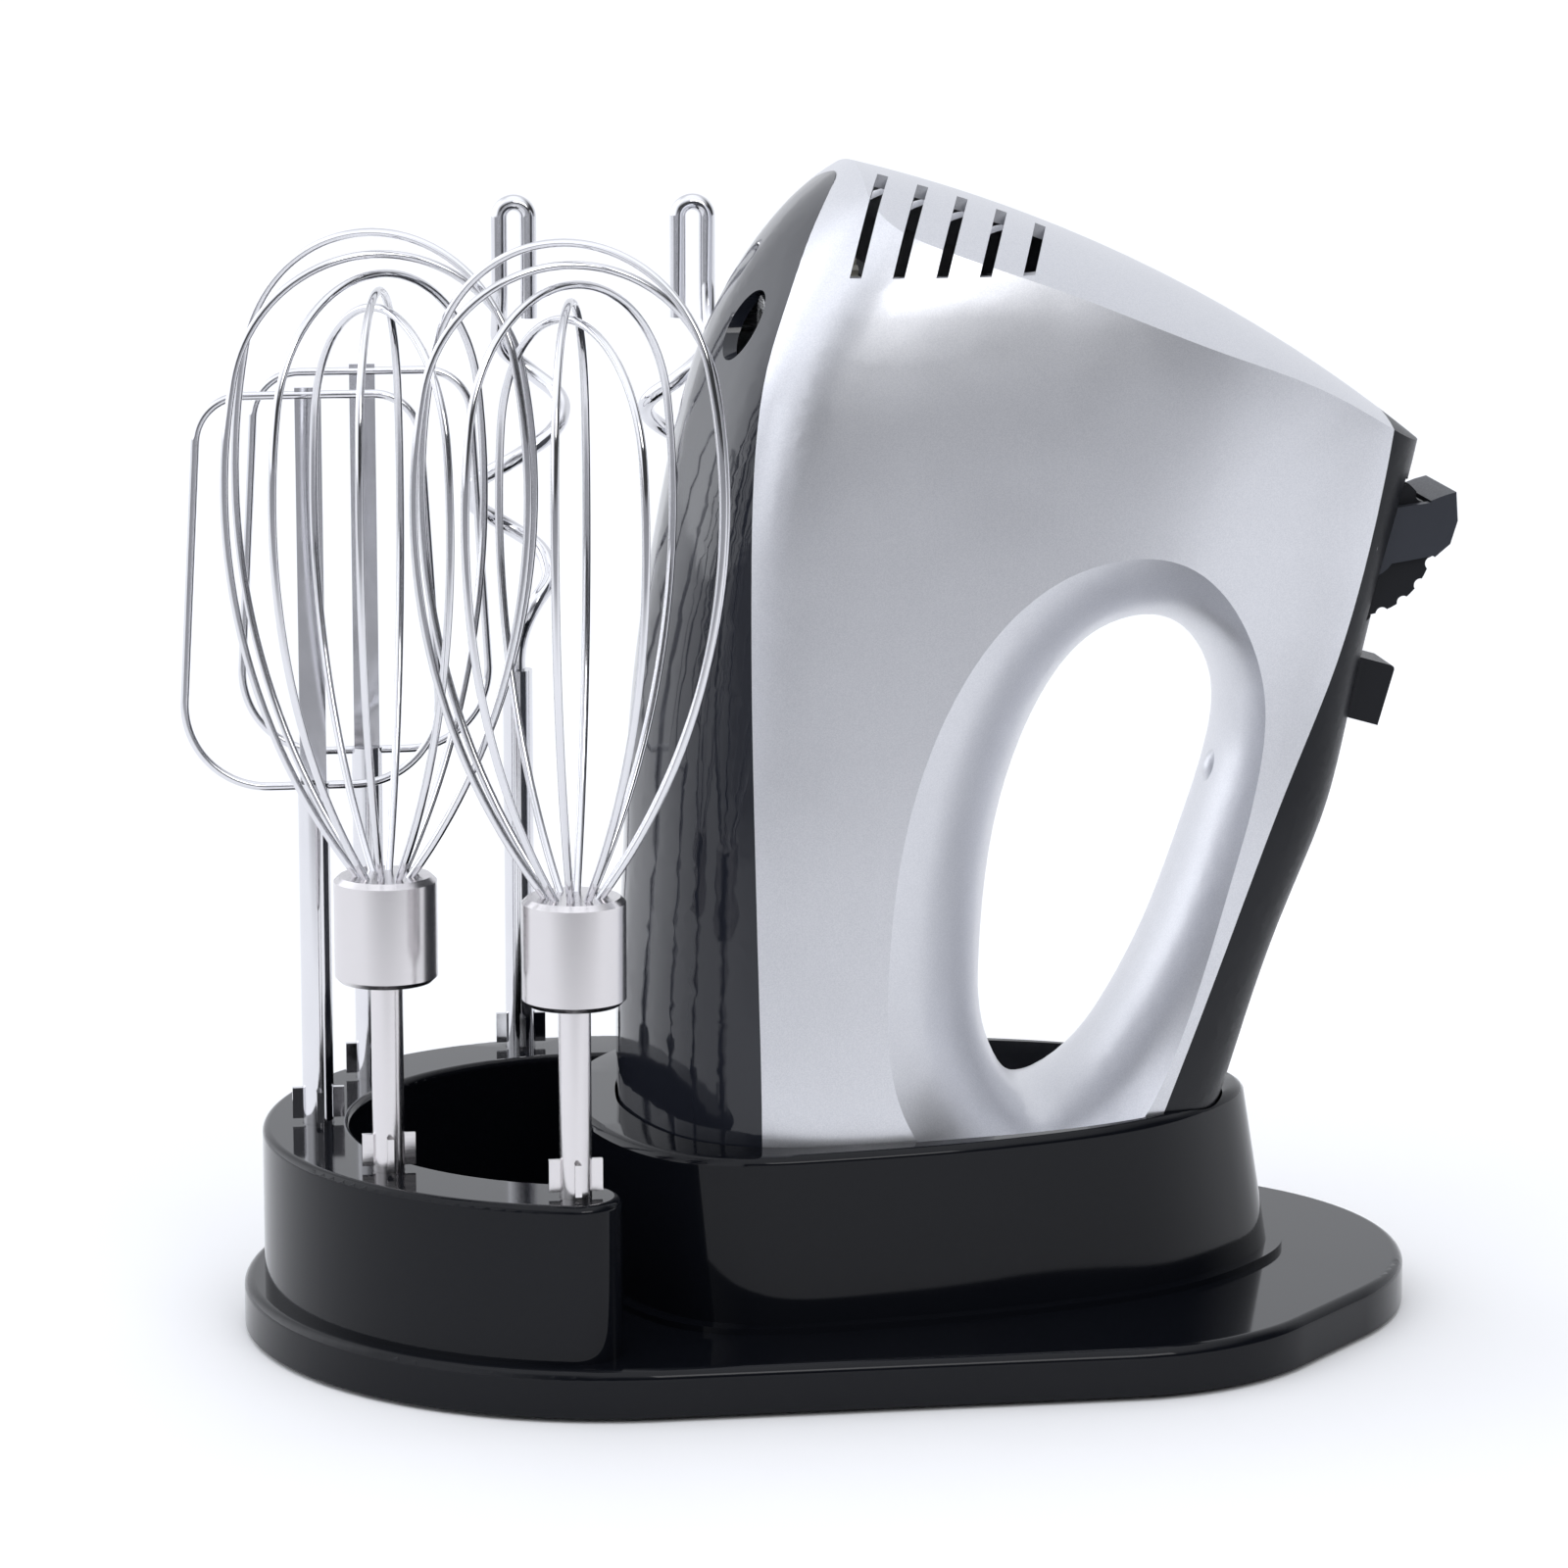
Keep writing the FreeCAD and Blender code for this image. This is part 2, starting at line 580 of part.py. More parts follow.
def make_cord_inlet():
    top = TAIL_Z + INLET_H
    seat = TAIL_Z + WALL
    body = rod_z(INLET_X, 0, TAIL_Z, top, INLET_R)
    flange = rod_z(INLET_X, 0, seat, seat + 2, INLET_R + 1.5)
    return fuse([body, flange]).cut(rod_z(INLET_X, 0, 0, top + 1, INLET_BORE_R))


def make_housing_screws():
    screws = []
    for x, z in HOUSING_SCREWS:
        head = rod_y(x, z, SCREW_HEAD_Y, SCREW_HEAD_Y + SCREW_HEAD_H, SCREW_HEAD_R)
        screws.append(fuse([head, rod_y(x, z, SCREW_TIP_Y, SCREW_HEAD_Y, SCREW_R)]))
    return screws


def cradle_form(grow):
    """The cradle's outer form with its rounded rim and its foot flange, grown by grow."""
    shoulder = CRADLE_TOP - RIM_ROUND
    body = Part.makeLoft([cradle_wire(PLATE_TOP, -grow), cradle_wire(shoulder, -grow)], True, True)
    lip = Part.makeLoft([cradle_wire(shoulder, -grow),
                         cradle_wire(CRADLE_TOP - 0.4 * RIM_ROUND, 0.35 * RIM_ROUND - grow),
                         cradle_wire(CRADLE_TOP, RIM_ROUND - grow)], True, True)
    flange = slab(cradle_wire(PLATE_TOP, -FLANGE_W - grow), FLANGE_H + grow)
    return fuse([body, lip, flange])


def make_cradle():
    """Tapered cup that holds the mixer's tail."""
    body = cradle_form(0).cut(shell_form(-CRADLE_GAP))
    return cut(body, [rod_z(x, y, 0, SCREW_TOP + FACE_GAP, SCREW_R) for x, y in CRADLE_SCREWS])


def cradle_wire(z, inset):
    """Teardrop outline of the cradle at a height, drawn in by inset."""
    share = (z - PLATE_TOP) / (CRADLE_TOP - PLATE_TOP)
    left = CRADLE_LEFT[0] + (CRADLE_LEFT[1] - CRADLE_LEFT[0]) * share + inset
    right = CRADLE_RIGHT[0] + (CRADLE_RIGHT[1] - CRADLE_RIGHT[0]) * share - inset
    half = CRADLE_HALF - inset
    span = right - left
    side = [(0.0, 0.0), (0.015, 0.36), (0.06, 0.70), (0.12, 0.90), (0.21, 0.99), (0.33, 0.985),
            (0.50, 0.925), (0.66, 0.82), (0.82, 0.635), (0.93, 0.38), (0.985, 0.17)]
    points = [(left + span * u, half * v, z) for u, v in side]
    points.append((right, 0.0, z))
    points += [(left + span * u, -half * v, z) for u, v in reversed(side[1:])]
    return Part.Wire([spline(points, closed=True)])


# ================================================================ drive
def make_shaft():
    body = rod_z(MOTOR_X, 0, SHAFT_Z[0], SHAFT_Z[1], SHAFT_R)
    worm_low = SPINDLE_Z - 11
    worm_high = SPINDLE_Z + 11
    body = body.fuse(rod_z(MOTOR_X, 0, worm_low, worm_high, WORM_R - 1.1))
    pitch = 2 * math.pi * GEAR_R / GEAR_TEETH
    collars = []
    turns = int((worm_high - worm_low) / pitch)
    for i in range(turns):
        z = worm_low + pitch * (i + 0.3)
        collars.append(rod_z(MOTOR_X, 0, z, z + pitch * 0.4, WORM_R))
    return fuse([body] + collars)


def make_armature_core():
    core = rod_z(MOTOR_X, 0, STATOR_Z[0] - 1, STATOR_Z[1] + 1, ROTOR_R)
    slots = []
    for i in range(11):
        slot = box(MOTOR_X + 7, MOTOR_X + 12, -1.5, 1.5, 90, 140)
        mouth = box(MOTOR_X + 11, MOTOR_X + 14, -0.6, 0.6, 90, 140)
        for piece in (slot, mouth):
            piece.rotate(Vec(MOTOR_X, 0, 0), Vec(0, 0, 1), 360 / 11 * i)
            slots.append(piece)
    return cut(core, slots + [rod_z(MOTOR_X, 0, 90, 140, SHAFT_R)])


def make_windings():
    rings = []
    for z0, z1 in ((STATOR_Z[0] - 9, STATOR_Z[0] - 1), (STATOR_Z[1] + 1, STATOR_Z[1] + 8)):
        ring = rod_z(MOTOR_X, 0, z0, z1, 11.5)
        ring = ring.makeFillet(2.5, [e for e in ring.Edges if len(e.Vertexes) == 1])
        rings.append(ring.cut(rod_z(MOTOR_X, 0, z0 - 1, z1 + 1, SHAFT_R)))
    return rings


def make_commutator():
    drum = rod_z(MOTOR_X, 0, COMMUTATOR_Z[0], COMMUTATOR_Z[1], COMMUTATOR_R)
    slots = []
    for i in range(16):
        slot = box(MOTOR_X + 7, MOTOR_X + 9, -0.3, 0.3, 70, 100)
        slot.rotate(Vec(MOTOR_X, 0, 0), Vec(0, 0, 1), 22.5 * i)
        slots.append(slot)
    return cut(drum, slots + [rod_z(MOTOR_X, 0, 70, 100, SHAFT_R)])


def make_fan():
    hub = rod_z(MOTOR_X, 0, FAN_Z[0], FAN_Z[1], 5.0)
    disc = rod_z(MOTOR_X, 0, FAN_Z[0], FAN_Z[0] + 1.2, FAN_R)
    blades = []
    for i in range(9):
        blade = box(MOTOR_X + 4.5, MOTOR_X + FAN_R - 0.3, -0.5, 0.5, FAN_Z[0] + 1, FAN_Z[1])
        blade.rotate(Vec(MOTOR_X, 0, 0), Vec(0, 0, 1), 40 * i)
        blades.append(blade)
    return fuse([hub, disc] + blades).cut(rod_z(MOTOR_X, 0, 130, 150, SHAFT_R))


def make_stator():
    half = STATOR / 2
    core = box(MOTOR_X - half, MOTOR_X + half, -half, half, STATOR_Z[0], STATOR_Z[1])
    core = core.makeFillet(3.0, [e for e in core.Edges if e.BoundBox.ZLength > 20])
    tools = [rod_z(MOTOR_X, 0, 90, 140, ROTOR_R + AIR_GAP)]
    for side in (-1, 1):
        x0 = MOTOR_X + (12.0 if side > 0 else -18.0)
        tools.append(box(x0, x0 + 6.0, -12.0, 12.0, 90, 140))
    return cut(core, tools)


def make_field_coils():
    coils = []
    for side in (-1, 1):
        x0 = MOTOR_X + (12.4 if side > 0 else -17.6)
        inner = box(x0, x0 + 5.2, -11.6, 11.6, STATOR_Z[0] - 6, STATOR_Z[1] + 6)
        coils.append(inner.cut(rod_z(MOTOR_X, 0, 80, 150, ROTOR_R + AIR_GAP + 0.2)))
    return coils


def make_rear_bracket():
    bar = box(MOTOR_X - 8, MOTOR_X + 8, -20, 20, 68, 72)
    legs = [box(MOTOR_X - 8, MOTOR_X + 8, s * 18.5 - 1.5, s * 18.5 + 1.5, 72, STATOR_Z[0])
            for s in (-1, 1)]
    boss = rod_z(MOTOR_X, 0, 65, 75, BEARING_R + 2.5)
    body = fuse([bar, boss] + legs)
    windows = [box(MOTOR_X - 4.1, MOTOR_X + 4.1, -23, -15, 79.4, 87.6),
               box(MOTOR_X - 4.1, MOTOR_X + 4.1, 15, 23, 79.4, 87.6)]
    return cut(body, windows + [rod_z(MOTOR_X, 0, 60, 80, BEARING_R)])


def make_bearing(z0, z1):
    return rod_z(MOTOR_X, 0, z0, z1, BEARING_R).cut(rod_z(MOTOR_X, 0, 50, 200, SHAFT_R + RUN))


def brush_place(shape):
    shape.translate(Vec(MOTOR_X, 0, (COMMUTATOR_Z[0] + COMMUTATOR_Z[1]) / 2))
    return shape


def make_brush_holders():
    half = BRUSH / 2
    tube = box(-half - 1.6, half + 1.6, 9.5, 23.0, -half - 1.6, half + 1.6)
    tube = tube.cut(box(-half - RUN, half + RUN, 9.0, 22.0, -half - RUN, half + RUN))
    return both_sides(brush_place(tube))


def make_brushes():
    half = BRUSH / 2
    block = box(-half, half, 5.0, 17.0, -half, half)
    block = brush_place(block).cut(rod_z(MOTOR_X, 0, 60, 100, COMMUTATOR_R + RUN))
    return both_sides(block)


def make_brush_springs():
    """Short coil springs behind the brushes."""
    count = 6 * SPRING_TURNS
    points = []
    for i in range(count + 1):
        angle = math.radians(60 * i)
        y = SPRING_Y[0] + (SPRING_Y[1] - SPRING_Y[0]) * i / count
        points.append(Vec(SPRING_R * math.cos(angle), y, SPRING_R * math.sin(angle)))
    coil = wire_solid(path(points, even_bends(points)), SPRING_WIRE_R)
    return both_sides(brush_place(coil))


def make_gearbox_frame():
    """Plate across the mixer with the front motor bearing and the spindles' bearing plates."""
    deck = box(EYE_X[0], BACK_X[1], -FRAME_HALF, FRAME_HALF, 157, 161)
    deck = deck.cut(box(20, EYE_X[1] + 6, -60, -16, 150, 170)).cut(box(20, EYE_X[1] + 6, 16, 60, 150, 170))
    boss = rod_z(MOTOR_X, 0, 157, 169, BEARING_R + 2.5)
    back = box(BACK_X[0], BACK_X[1], -FRAME_HALF, FRAME_HALF, 157, SPINDLE_Z + 8)
    posts = []
    tools = [rod_z(MOTOR_X, 0, 150, 180, BEARING_R)]
    for side in (-1, 1):
        y = side * SPINDLE_Y
        posts.append(rod_x(y, SPINDLE_Z, EYE_X[0], EYE_X[1], SPINDLE_R + 2.6))
        low = min(side * 8.0, side * 16.0)
        posts.append(box(EYE_X[0], EYE_X[1], low, low + 8.0, 157, SPINDLE_Z - 4))
        tools.append(rod_x(y, SPINDLE_Z, 0, 100, SPINDLE_R + RUN))
    return cut(fuse([deck, boss, back] + posts), tools)


def make_worm_gear(side):
    """Helical gear and the spindle that it turns; its bore takes an attachment's shaft."""
    y = side * SPINDLE_Y
    x0 = MOTOR_X - GEAR_W / 2
    tooth_half = math.pi * GEAR_ROOT_R / GEAR_TEETH / 2
    disc = rod_x(0, 0, x0, x0 + GEAR_W, GEAR_ROOT_R)
    teeth = []
    for i in range(GEAR_TEETH):
        tooth = box(x0, x0 + GEAR_W, -tooth_half, tooth_half, GEAR_ROOT_R - 0.6, GEAR_R)
        tooth.rotate(Vec(0, 0, 0), Vec(1, 0, 0), 360 / GEAR_TEETH * i)
        teeth.append(tooth)
    gear = disc.multiFuse(teeth)
    gear.translate(Vec(0, y, SPINDLE_Z))
    return gear.cut(rod_x(y, SPINDLE_Z, 0, 100, SPINDLE_R))


def make_spindle(side):
    y = side * SPINDLE_Y
    body = rod_x(y, SPINDLE_Z, SPINDLE_X[0], SPINDLE_X[1], SPINDLE_R)
    return body.cut(rod_x(y, SPINDLE_Z, SPINDLE_X[0] - 1, SPINDLE_X[1] + 1, TOOL_R + RUN))


def make_ejector_fork():
    bar = box(FORK_X[0], FORK_X[1], -SPINDLE_Y - 4, SPINDLE_Y + 4, SPINDLE_Z - 4, SPINDLE_Z + 4)
    pins = [rod_x(s * SPINDLE_Y, SPINDLE_Z, SPINDLE_X[1] + FACE_GAP, FORK_X[0], FORK_PIN_R)
            for s in (-1, 1)]
    stem = box(FORK_X[1], FORK_X[1] + 30, -3, 3, SPINDLE_Z - 3, SPINDLE_Z + 3)
    return fuse([bar, stem] + pins)


def make_fork_guide():
    """Guide that the ejector fork's stem slides in, screwed to the gearbox frame."""
    post = box(FORK_X[1] + 14, FORK_X[1] + 18, -8, 8, SPINDLE_Z - 8, SPINDLE_Z + 6)
    arms = [box(BACK_X[1], FORK_X[1] + 18, s * 7 - 1, s * 7 + 1, SPINDLE_Z - 14, SPINDLE_Z - 5)
            for s in (-1, 1)]
    reach = 3 + FACE_GAP
    window = box(0, FAR, -reach, reach, SPINDLE_Z - reach, SPINDLE_Z + reach)
    return fuse([post] + arms).cut(window)


# ================================================================ controls
def make_dial():
    drum = rod_y(DIAL_X, DIAL_Z, -DIAL_HALF, DIAL_HALF, DIAL_R)
    tools = [rod_y(DIAL_X, DIAL_Z, -20, 20, AXLE_R + RUN)]
    for i in range(DIAL_GROOVES):
        angle = 2 * math.pi * i / DIAL_GROOVES
        x = DIAL_X + (DIAL_R + 0.5) * math.cos(angle)
        z = DIAL_Z + (DIAL_R + 0.5) * math.sin(angle)
        tools.append(rod_y(x, z, -20, 20, 1.3))
    return cut(drum, tools)


def make_axle():
    return rod_y(DIAL_X, DIAL_Z, -AXLE_HALF, AXLE_HALF, AXLE_R)


def make_lever():
    """Eject lever: two arms beside the drum, joined by a fin outside its rim."""
    inner = DIAL_HALF + FACE_GAP
    fin = polygon_y([(DIAL_X + x, DIAL_Z + z) for x, z in FIN], LEVER_HALF)
    fin = fin.cut(rod_y(DIAL_X, DIAL_Z, -inner, inner, DIAL_R + FACE_GAP))
    arms = []
    for side in (-1, 1):
        y0 = inner if side > 0 else -LEVER_HALF
        y1 = LEVER_HALF if side > 0 else -inner
        disc = rod_y(DIAL_X, DIAL_Z, y0, y1, LEVER_ARM_R)
        arm = polygon_y([(DIAL_X + x, DIAL_Z + z) for x, z in LEVER_ARM], LEVER_HALF)
        arm = arm.common(box(0, FAR, y0, y1, 0, FAR))
        arms.append(fuse([disc, arm]).cut(rod_y(DIAL_X, DIAL_Z, -30, 30, AXLE_R + RUN)))
    return fuse([fin] + arms)


def make_button():
    body = button_block(0, BUTTON_IN, BUTTON_OUT)
    front = [e for e in body.Edges if e.BoundBox.XMin > BUTTON_X + BUTTON_OUT * 0.7]
    return body.makeFillet(0.8, front) if front else body


def make_board():
    return box(BOARD_X[0], BOARD_X[1], -BOARD_HALF, BOARD_HALF, BOARD_Z[0], BOARD_Z[1])


def make_speed_switch():
    return box(SWITCH_X, BOARD_X[0], -SWITCH_HALF, SWITCH_HALF, SWITCH_Z[0], SWITCH_Z[1])


def make_turbo_switch():
    body = button_frame(box(-BUTTON_IN - BUTTON_TRAVEL - 9, -BUTTON_IN - BUTTON_TRAVEL - FACE_GAP,
                            -4, 4, -4, 4))
    return body.cut(box(0, BOARD_X[1], -MID, MID, 0, FAR))


# ================================================================ attachments
def lugs(x, y):
    """Four short wings on an attachment's shaft, just above the holder."""
    wing = 0.6
    along = box(x - LUG_HALF, x + LUG_HALF, y - wing, y + wing, LUG_Z, LUG_Z + LUG_H)
    across = box(x - wing, x + wing, y - LUG_HALF, y + LUG_HALF, LUG_Z, LUG_Z + LUG_H)
    return [along, across]


def make_tool_shaft(x, y, top):
    return fuse([rod_z(x, y, SOCKET_FLOOR, top, TOOL_R)] + lugs(x, y))


def make_blade(x, y):
    half = BLADE_W / 2
    return box(x - half, x + half, y - BLADE_T / 2, y + BLADE_T / 2, BLADE_Z[0], BLADE_Z[1])


def make_beater_loop(x, y):
    """One closed wire loop, wider below than above, with rounded corners."""
    corners = [(0.0, 181.6, 0.0), (20.8, 181.6, 9.0), (25.2, 106.4, 16.0), (0.0, 106.4, 0.0)]
    right = [Vec(x + dx, y, z) for dx, z, bend in corners]
    bends = [corners[1][2], corners[2][2]]
    left = [Vec(2 * x - p.x, y, p.z) for p in right]
    first = wire_solid(path(right, bends), LOOP_WIRE_R)
    second = wire_solid(path(left, bends), LOOP_WIRE_R)
    return first.fuse(second).removeSplitter()


def whisk_loop(index):
    """A wire's half outline in its own plane: top arc's radius and centre, tangent point."""
    radius = WHISK_R - WHISK_STEP * index
    centre = Vec(0, 0, WHISK_APEX[index] - radius)
    foot = Vec(WIRE_RING_R, 0, FERRULE_Z[1])
    base = foot - centre
    reach = WHISK_SIDE_R - radius
    distance = base.Length
    along = (reach ** 2 - WHISK_SIDE_R ** 2 + distance ** 2) / (2 * distance)
    aside = math.sqrt(reach ** 2 - along ** 2)
    unit = Vec(base).normalize()
    normal = Vec(unit.z, 0, -unit.x)
    if normal.x > 0:
        normal = normal * -1
    side_centre = centre + unit * along + normal * aside
    outward = (centre - side_centre).normalize()
    touch = centre + outward * radius
    middle = (foot + touch) * 0.5 - side_centre
    bulge = side_centre + middle.normalize() * WHISK_SIDE_R
    heading = (foot - side_centre).normalize()
    down = Vec(heading.z, 0, -heading.x)
    if down.z > 0:
        down = down * -1
    root = foot + down * WIRE_DEPTH
    return root, foot, bulge, touch, Vec(0, 0, WHISK_APEX[index])


def make_whisk_wires(x, y, turn):
    """Nested loops, evenly turned about the shaft; turn is the first loop's direction in degrees."""
    wires = []
    for i in range(WHISK_LOOPS):
        root, foot, bulge, touch, apex = whisk_loop(i)
        flip = [Vec(-p.x, 0, p.z) for p in (touch, bulge, foot, root)]
        edges = [
            Part.LineSegment(root, foot).toShape(),
            Part.Arc(foot, bulge, touch).toShape(),
            Part.Arc(touch, apex, flip[0]).toShape(),
            Part.Arc(flip[0], flip[1], flip[2]).toShape(),
            Part.LineSegment(flip[2], flip[3]).toShape(),
        ]
        loop = wire_solid(Part.Wire(edges), WHISK_WIRE_R)
        loop.rotate(Vec(0, 0, 0), Vec(0, 0, 1), turn + 180 / WHISK_LOOPS * i)
        loop.translate(Vec(x, y, 0))
        wires.append(loop)
    return wires


def make_ferrule(x, y):
    body = rod_z(x, y, FERRULE_Z[0], FERRULE_Z[1], FERRULE_R)
    rims = [e for e in body.Edges if len(e.Vertexes) == 1]
    body = body.makeChamfer(FERRULE_CHAMFER, rims)
    return body.cut(rod_z(x, y, 0, FERRULE_Z[0] + FERRULE_SEAT, TOOL_R))


def make_hook_rod(x, y, turn):
    """Corkscrew rod that ends in a hairpin at the top."""
    low = HOOK_SHAFT_TOP
    points = [Vec(0, 0, low - 6), Vec(0, 0, low + 5)]
    steps = 10
    for i in range(steps + 1):
        share = i / steps
        angle = math.radians(-60 + 540 * share)
        radius = HOOK_SPIRAL_R * min(1.0, 0.45 + 2.2 * share, 0.30 + 2.2 * (1 - share) + 0.25)
        z = low + 13 + (HOOK_TOP - low - 42) * share
        points.append(Vec(radius * math.cos(angle), radius * math.sin(angle), z))
    crest = HOOK_TOP - HOOK_PIN_HALF
    points.append(Vec(-HOOK_PIN_HALF, 0, HOOK_TOP - 20))
    bends = even_bends(points + [Vec(-HOOK_PIN_HALF, 0, crest)], 0.45)
    points += [Vec(-HOOK_PIN_HALF, 0, HOOK_TOP), Vec(HOOK_PIN_HALF, 0, HOOK_TOP),
               Vec(HOOK_PIN_HALF, 0, HOOK_TOP - 23)]
    bends += [HOOK_PIN_HALF * 0.999, HOOK_PIN_HALF * 0.999]
    body = wire_solid(path(points, bends), HOOK_ROD_R)
    body.rotate(Vec(0, 0, 0), Vec(0, 0, 1), turn)
    body.translate(Vec(x, y, 0))
    return body


# ================================================================ the whole set
def make_all():
    outer, cavity = make_shell()
    left, right, cover, strip = make_housings(outer, cavity)
    nodes = {
        "base_plate": make_base_plate(),
        "bottom_cover": make_bottom_cover(),
        "rubber_feet": make_feet(),
        "stand_screws": make_stand_screws(),
        "accessory_holder": make_holder(),
        "mixer_cradle": make_cradle(),
        "housing_left": left,
        "housing_right": right,
        "belly_cover": cover,
        "handle_strip": strip,
        "cord_inlet": make_cord_inlet(),
        "housing_screws": make_housing_screws(),
        "motor_shaft": make_shaft(),
        "armature_core": make_armature_core(),
        "armature_windings": make_windings(),
        "commutator": make_commutator(),
        "cooling_fan": make_fan(),
        "stator_core": make_stator(),
        "field_coils": make_field_coils(),
        "rear_bracket": make_rear_bracket(),
        "rear_bearing": make_bearing(*REAR_BEARING_Z),
        "front_bearing": make_bearing(*FRONT_BEARING_Z),
        "brush_holders": make_brush_holders(),
        "carbon_brushes": make_brushes(),
        "brush_springs": make_brush_springs(),
        "gearbox_frame": make_gearbox_frame(),
        "worm_gear_left": make_worm_gear(-1),
        "worm_gear_right": make_worm_gear(1),
        "spindle_left": make_spindle(-1),
        "spindle_right": make_spindle(1),
        "ejector_fork": make_ejector_fork(),
        "fork_guide": make_fork_guide(),
        "speed_dial": make_dial(),
        "dial_axle": make_axle(),
        "eject_lever": make_lever(),
        "turbo_button": make_button(),
        "control_board": make_board(),
        "speed_switch": make_speed_switch(),
        "turbo_switch": make_turbo_switch(),
    }
    # The two whisks stand closer than they are wide: turned so, their wires pass between each other.
    front, second = SOCKETS[:2]
    towards = math.degrees(math.atan2(front[1] - second[1], front[0] - second[0]))
    for number, (x, y) in enumerate((second, front), 1):
        nodes[f"whisk_{number}_shaft"] = make_tool_shaft(x, y, FERRULE_Z[0] + FERRULE_SEAT)
        nodes[f"whisk_{number}_ferrule"] = make_ferrule(x, y)
        nodes[f"whisk_{number}_wires"] = make_whisk_wires(x, y, towards + WHISK_TURN)
    for number, (x, y) in enumerate(SOCKETS[2:4], 1):
        nodes[f"beater_{number}_shaft"] = make_tool_shaft(x, y, BLADE_Z[0] + 3)
        nodes[f"beater_{number}_blade"] = make_blade(x, y)
        nodes[f"beater_{number}_loop"] = make_beater_loop(x, y)
    for number, (x, y) in enumerate(SOCKETS[4:], 1):
        nodes[f"hook_{number}_shaft"] = make_tool_shaft(x, y, HOOK_SHAFT_TOP)
        nodes[f"hook_{number}_rod"] = make_hook_rod(x, y, 180.0 * (number - 1))
    return nodes


def as_shape(piece):
    return Part.makeCompound(piece) if isinstance(piece, list) else piece


shapes = {name: as_shape(piece) for name, piece in make_all().items()}
bounds = Part.makeCompound(list(shapes.values())).optimalBoundingBox(False, False)
ORIGIN = Vec((bounds.XMin + bounds.XMax) / 2, (bounds.YMin + bounds.YMax) / 2, 0)
os.makedirs("parts", exist_ok=True)
for name, shape in shapes.items():
    shape.translate(ORIGIN * -1)
    shape.exportStep(f"parts/{name}.step")
    print(name, shape.isValid(), len(shape.Solids), round(shape.Volume / 1000, 2))
print("origin", ORIGIN)
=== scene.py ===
import json
import math

import bpy
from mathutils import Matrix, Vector


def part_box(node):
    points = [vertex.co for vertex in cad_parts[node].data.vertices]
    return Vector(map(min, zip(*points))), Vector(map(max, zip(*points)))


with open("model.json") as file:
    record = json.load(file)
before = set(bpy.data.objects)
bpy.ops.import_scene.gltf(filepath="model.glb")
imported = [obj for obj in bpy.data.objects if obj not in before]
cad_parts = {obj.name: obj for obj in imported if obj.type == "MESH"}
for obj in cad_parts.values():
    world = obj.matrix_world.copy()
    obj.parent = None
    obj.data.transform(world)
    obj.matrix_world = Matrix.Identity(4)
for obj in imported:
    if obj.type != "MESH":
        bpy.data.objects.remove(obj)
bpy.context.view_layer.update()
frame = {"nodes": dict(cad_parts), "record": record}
nodes = frame["nodes"]
MM = 0.001

# ---------------------------------------------------------------- places, from the frame
plate_low, plate_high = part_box("base_plate")
PLATE_ROUND = 72 * MM                    # the radius of the plate's round left end
stand = Vector((plate_low.x + PLATE_ROUND, (plate_low.y + plate_high.y) / 2, 0))   # its centre

# ---------------------------------------------------------------- camera
AZIMUTH = math.radians(-8.5)             # 0 looks along +Y
ELEVATION = math.radians(11.1)
DISTANCE = 1135.5 * MM
AIM = stand + Vector((33.5, 0, 104.8)) * MM
LENS = 135                               # millimetres
SENSOR = 36                              # millimetres
NEAREST = 0.01                           # what the camera sees, in metres
FARTHEST = 50


def make_camera():
    data = bpy.data.cameras.new("camera")
    camera = bpy.data.objects.new("camera", data)
    bpy.context.scene.collection.objects.link(camera)
    back = Vector((math.sin(AZIMUTH) * math.cos(ELEVATION),
                   -math.cos(AZIMUTH) * math.cos(ELEVATION), math.sin(ELEVATION)))
    camera.location = AIM + back * DISTANCE
    camera.rotation_mode = "QUATERNION"
    camera.rotation_quaternion = (-back).to_track_quat("-Z", "Y")
    data.lens = LENS
    data.sensor_width = SENSOR
    data.clip_start = NEAREST
    data.clip_end = FARTHEST
    bpy.context.scene.camera = camera


make_camera()
bpy.context.scene.view_settings.view_transform = "Standard"


